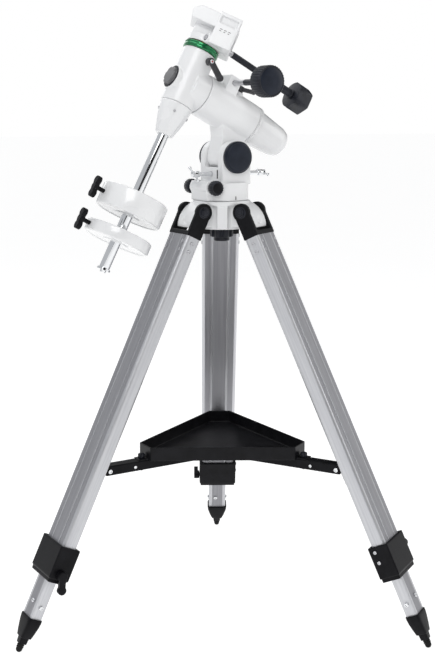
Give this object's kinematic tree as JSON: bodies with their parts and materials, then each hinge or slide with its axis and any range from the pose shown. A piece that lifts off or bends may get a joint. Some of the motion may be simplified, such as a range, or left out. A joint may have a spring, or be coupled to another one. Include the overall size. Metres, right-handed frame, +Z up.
{
  "type": "equatorial mount",
  "caption": "German equatorial telescope mount with counterweights and slow-motion controls on an adjustable aluminium tripod with an accessory tray.",
  "frame": {"origin": "on the ground, in the middle of the footprint", "axes": "+Z up, +X towards the equator; the polar axis rises towards -X, and +Y is east"},
  "size_m": [0.6707, 0.7598, 1.1563],
  "materials": {
    "white_paint": "gloss white enamel on castings",
    "black_plastic": "satin moulded plastic",
    "dark_lever": "satin dark grey casting",
    "anodised_leg": "satin clear anodised extrusion",
    "chrome": "polished plating",
    "steel": "turned steel",
    "green_anodised": "gloss green anodised ring",
    "brass": "turned brass",
    "grey_metal": "satin grey",
    "tray_plastic": "satin black moulded plastic"
  },
  "bodies": {
    "tripod": {"tripod_hub": "white_paint", "leg_brackets": "black_plastic", "leg_rail_1": "anodised_leg", "leg_rail_2": "anodised_leg", "leg_rail_3": "anodised_leg", "leg_clamp_1": "black_plastic", "leg_clamp_2": "black_plastic", "leg_clamp_3": "black_plastic", "hinge_bolts": "chrome", "leg_screws": "chrome", "spreader_arms": "black_plastic", "accessory_tray": "tray_plastic", "tray_screws": "black_plastic", "centre_bolt": "black_plastic", "azimuth_peg": "steel"},
    "leg_1": {"lower_leg_1": "anodised_leg"},
    "leg_knob_1": {"clamp_knob_1": "black_plastic"},
    "leg_2": {"lower_leg_2": "anodised_leg"},
    "leg_knob_2": {"clamp_knob_2": "black_plastic"},
    "leg_3": {"lower_leg_3": "anodised_leg"},
    "leg_knob_3": {"clamp_knob_3": "black_plastic"},
    "azimuth_head": {"azimuth_base": "white_paint", "altitude_bolt": "steel", "altitude_caps": "black_plastic"},
    "azimuth_screw_near": {"azimuth_screw_near": "chrome"},
    "azimuth_knob_near": {"azimuth_knob_near": "black_plastic"},
    "azimuth_screw_far": {"azimuth_screw_far": "chrome"},
    "azimuth_knob_far": {"azimuth_knob_far": "black_plastic"},
    "polar_head": {"polar_housing": "white_paint", "ra_bearings": "steel"},
    "altitude_screw_front": {"altitude_screw_front": "chrome"},
    "altitude_handle_front": {"altitude_handle_front": "chrome"},
    "altitude_screw_rear": {"altitude_screw_rear": "chrome"},
    "altitude_handle_rear": {"altitude_handle_rear": "chrome"},
    "ra_drive": {"ra_worm": "steel", "ra_slow_knob": "black_plastic"},
    "polar_cup": {"polar_cup": "white_paint"},
    "ra_circle": {"ra_setting_circle": "white_paint"},
    "ra_lever": {"ra_lock_lever": "dark_lever"},
    "ra_axis": {"dec_housing": "white_paint", "ra_shaft": "steel", "ra_worm_wheel": "brass", "dec_bearings": "steel", "dec_lower_cover": "white_paint", "counterweight_shaft": "chrome", "toe_saver": "chrome", "dec_worm_wheel": "brass"},
    "polar_front_cap": {"polar_front_cap": "grey_metal"},
    "dec_circle": {"dec_setting_circle": "green_anodised"},
    "dec_lever": {"dec_lock_lever": "dark_lever"},
    "weight_large": {"counterweight_large": "white_paint"},
    "weight_knob_large": {"weight_knob_large": "black_plastic"},
    "weight_small": {"counterweight_small": "white_paint"},
    "weight_knob_small": {"weight_knob_small": "black_plastic"},
    "dec_axis": {"dec_shaft": "steel", "saddle": "white_paint"},
    "saddle_screw_main": {"saddle_screw_main": "brass"},
    "saddle_screw_small": {"saddle_screw_small": "brass"},
    "dec_drive": {"dec_worm": "steel", "dec_slow_knob": "black_plastic"}
  },
  "joints": [
    {"name": "leg_extend_1", "type": "slide", "parent": "tripod", "child": "leg_1", "axis": [-0.4321, 0, -0.9018], "range_m": [0, 0.45]},
    {"name": "leg_clamp_turn_1", "type": "hinge", "parent": "tripod", "child": "leg_knob_1", "pos_m": [-0.26005, 0, 0.14731], "axis": [0, -1, 0], "continuous": true},
    {"name": "leg_extend_2", "type": "slide", "parent": "tripod", "child": "leg_2", "axis": [0.216, -0.3742, -0.9018], "range_m": [0, 0.45]},
    {"name": "leg_clamp_turn_2", "type": "hinge", "parent": "tripod", "child": "leg_knob_2", "pos_m": [0.28603, -0.31528, 0.14731], "axis": [0.866, 0.5, 0], "continuous": true},
    {"name": "leg_extend_3", "type": "slide", "parent": "tripod", "child": "leg_3", "axis": [0.216, 0.3742, -0.9018], "range_m": [0, 0.45]},
    {"name": "leg_clamp_turn_3", "type": "hinge", "parent": "tripod", "child": "leg_knob_3", "pos_m": [0.28603, 0.31528, 0.14731], "axis": [-0.866, 0.5, 0], "continuous": true},
    {"name": "azimuth", "type": "hinge", "parent": "tripod", "child": "azimuth_head", "pos_m": [0.104, 0, 0.82], "axis": [0, 0, 1], "range_deg": [-7, 7]},
    {"name": "azimuth_screw_travel_near", "type": "slide", "parent": "azimuth_head", "child": "azimuth_screw_near", "axis": [0, 1, 0], "range_m": [-0.0052, 0.0052]},
    {"name": "azimuth_knob_turn_near", "type": "hinge", "parent": "azimuth_screw_near", "child": "azimuth_knob_near", "pos_m": [0.064, 0, 0.829], "axis": [0, 1, 0], "continuous": true},
    {"name": "azimuth_screw_travel_far", "type": "slide", "parent": "azimuth_head", "child": "azimuth_screw_far", "axis": [0, 1, 0], "range_m": [-0.0052, 0.0052]},
    {"name": "azimuth_knob_turn_far", "type": "hinge", "parent": "azimuth_screw_far", "child": "azimuth_knob_far", "pos_m": [0.064, 0, 0.829], "axis": [0, 1, 0], "continuous": true},
    {"name": "altitude", "type": "hinge", "parent": "azimuth_head", "child": "polar_head", "pos_m": [0.112, 0, 0.884], "axis": [0, 1, 0], "range_deg": [-10, 12]},
    {"name": "altitude_screw_travel_front", "type": "slide", "parent": "azimuth_head", "child": "altitude_screw_front", "axis": [1, 0, 0], "range_m": [-0.0072, 0.006]},
    {"name": "altitude_handle_turn_front", "type": "hinge", "parent": "altitude_screw_front", "child": "altitude_handle_front", "pos_m": [0.104, 0, 0.853], "axis": [1, 0, 0], "continuous": true},
    {"name": "altitude_screw_travel_rear", "type": "slide", "parent": "azimuth_head", "child": "altitude_screw_rear", "axis": [1, 0, 0], "range_m": [-0.0072, 0.006]},
    {"name": "altitude_handle_turn_rear", "type": "hinge", "parent": "altitude_screw_rear", "child": "altitude_handle_rear", "pos_m": [0.104, 0, 0.853], "axis": [1, 0, 0], "continuous": true},
    {"name": "ra_slow_motion", "type": "hinge", "parent": "polar_head", "child": "ra_drive", "pos_m": [0.11377, 0, 1.0186], "axis": [0, 1, 0], "continuous": true},
    {"name": "polar_cup_turn", "type": "hinge", "parent": "polar_head", "child": "polar_cup", "pos_m": [0.20399, 0, 0.92154], "axis": [0.8854, 0, -0.4648], "continuous": true},
    {"name": "ra_circle_turn", "type": "hinge", "parent": "polar_head", "child": "ra_circle", "pos_m": [0.16415, 0, 0.94246], "axis": [0.8854, 0, -0.4648], "continuous": true},
    {"name": "ra_lock", "type": "hinge", "parent": "polar_head", "child": "ra_lever", "pos_m": [0.13549, -0.016, 1.00833], "axis": [0.4648, 0, 0.8854], "range_deg": [-20, 40]},
    {"name": "right_ascension", "type": "hinge", "parent": "polar_head", "child": "ra_axis", "pos_m": [0.02691, 0, 1.01451], "axis": [0.8854, 0, -0.4648], "range_deg": [-120, 30]},
    {"name": "polar_front_cap_turn", "type": "hinge", "parent": "ra_axis", "child": "polar_front_cap", "pos_m": [0.00035, 0, 1.02845], "axis": [0.8854, 0, -0.4648], "continuous": true},
    {"name": "dec_circle_turn", "type": "hinge", "parent": "ra_axis", "child": "dec_circle", "pos_m": [0.05945, 0, 1.07649], "axis": [0.4648, 0, 0.8854], "continuous": true},
    {"name": "dec_lock", "type": "hinge", "parent": "ra_axis", "child": "dec_lever", "pos_m": [0.05724, 0, 1.05506], "axis": [0, 1, 0], "range_deg": [-25, 30]},
    {"name": "weight_slide_large", "type": "slide", "parent": "ra_axis", "child": "weight_large", "axis": [0.4648, 0, 0.8854], "range_m": [-0.014, 0.11]},
    {"name": "weight_knob_turn_large", "type": "hinge", "parent": "weight_large", "child": "weight_knob_large", "pos_m": [-0.14802, 0, 0.8319], "axis": [0.8854, 0, -0.4648], "continuous": true},
    {"name": "weight_slide_small", "type": "slide", "parent": "ra_axis", "child": "weight_small", "axis": [0.4648, 0, 0.8854], "range_m": [-0.036, 0.014]},
    {"name": "weight_knob_turn_small", "type": "hinge", "parent": "weight_small", "child": "weight_knob_small", "pos_m": [-0.17684, 0, 0.777], "axis": [0.8854, 0, -0.4648], "continuous": true},
    {"name": "declination", "type": "hinge", "parent": "ra_axis", "child": "dec_axis", "pos_m": [0.0641, 0, 1.08534], "axis": [0.4648, 0, 0.8854], "continuous": true},
    {"name": "saddle_screw_turn_main", "type": "hinge", "parent": "dec_axis", "child": "saddle_screw_main", "pos_m": [0.0738, 0.00696, 1.12994], "axis": [0.44, 0.8678, -0.231], "continuous": true},
    {"name": "saddle_screw_turn_small", "type": "hinge", "parent": "dec_axis", "child": "saddle_screw_small", "pos_m": [0.10453, -0.01292, 1.11381], "axis": [0.44, 0.8678, -0.231], "continuous": true},
    {"name": "dec_slow_motion", "type": "hinge", "parent": "dec_axis", "child": "dec_drive", "pos_m": [0.06689, -0.03, 1.09065], "axis": [0.8854, 0, -0.4648], "continuous": true}
  ],
  "couplings": [
    {"joint": "azimuth_screw_travel_near", "follows": "azimuth", "m_per_rad": 0.04},
    {"joint": "azimuth_screw_travel_far", "follows": "azimuth", "m_per_rad": 0.04},
    {"joint": "altitude_screw_travel_front", "follows": "altitude", "m_per_rad": -0.031},
    {"joint": "altitude_screw_travel_rear", "follows": "altitude", "m_per_rad": -0.031}
  ]
}
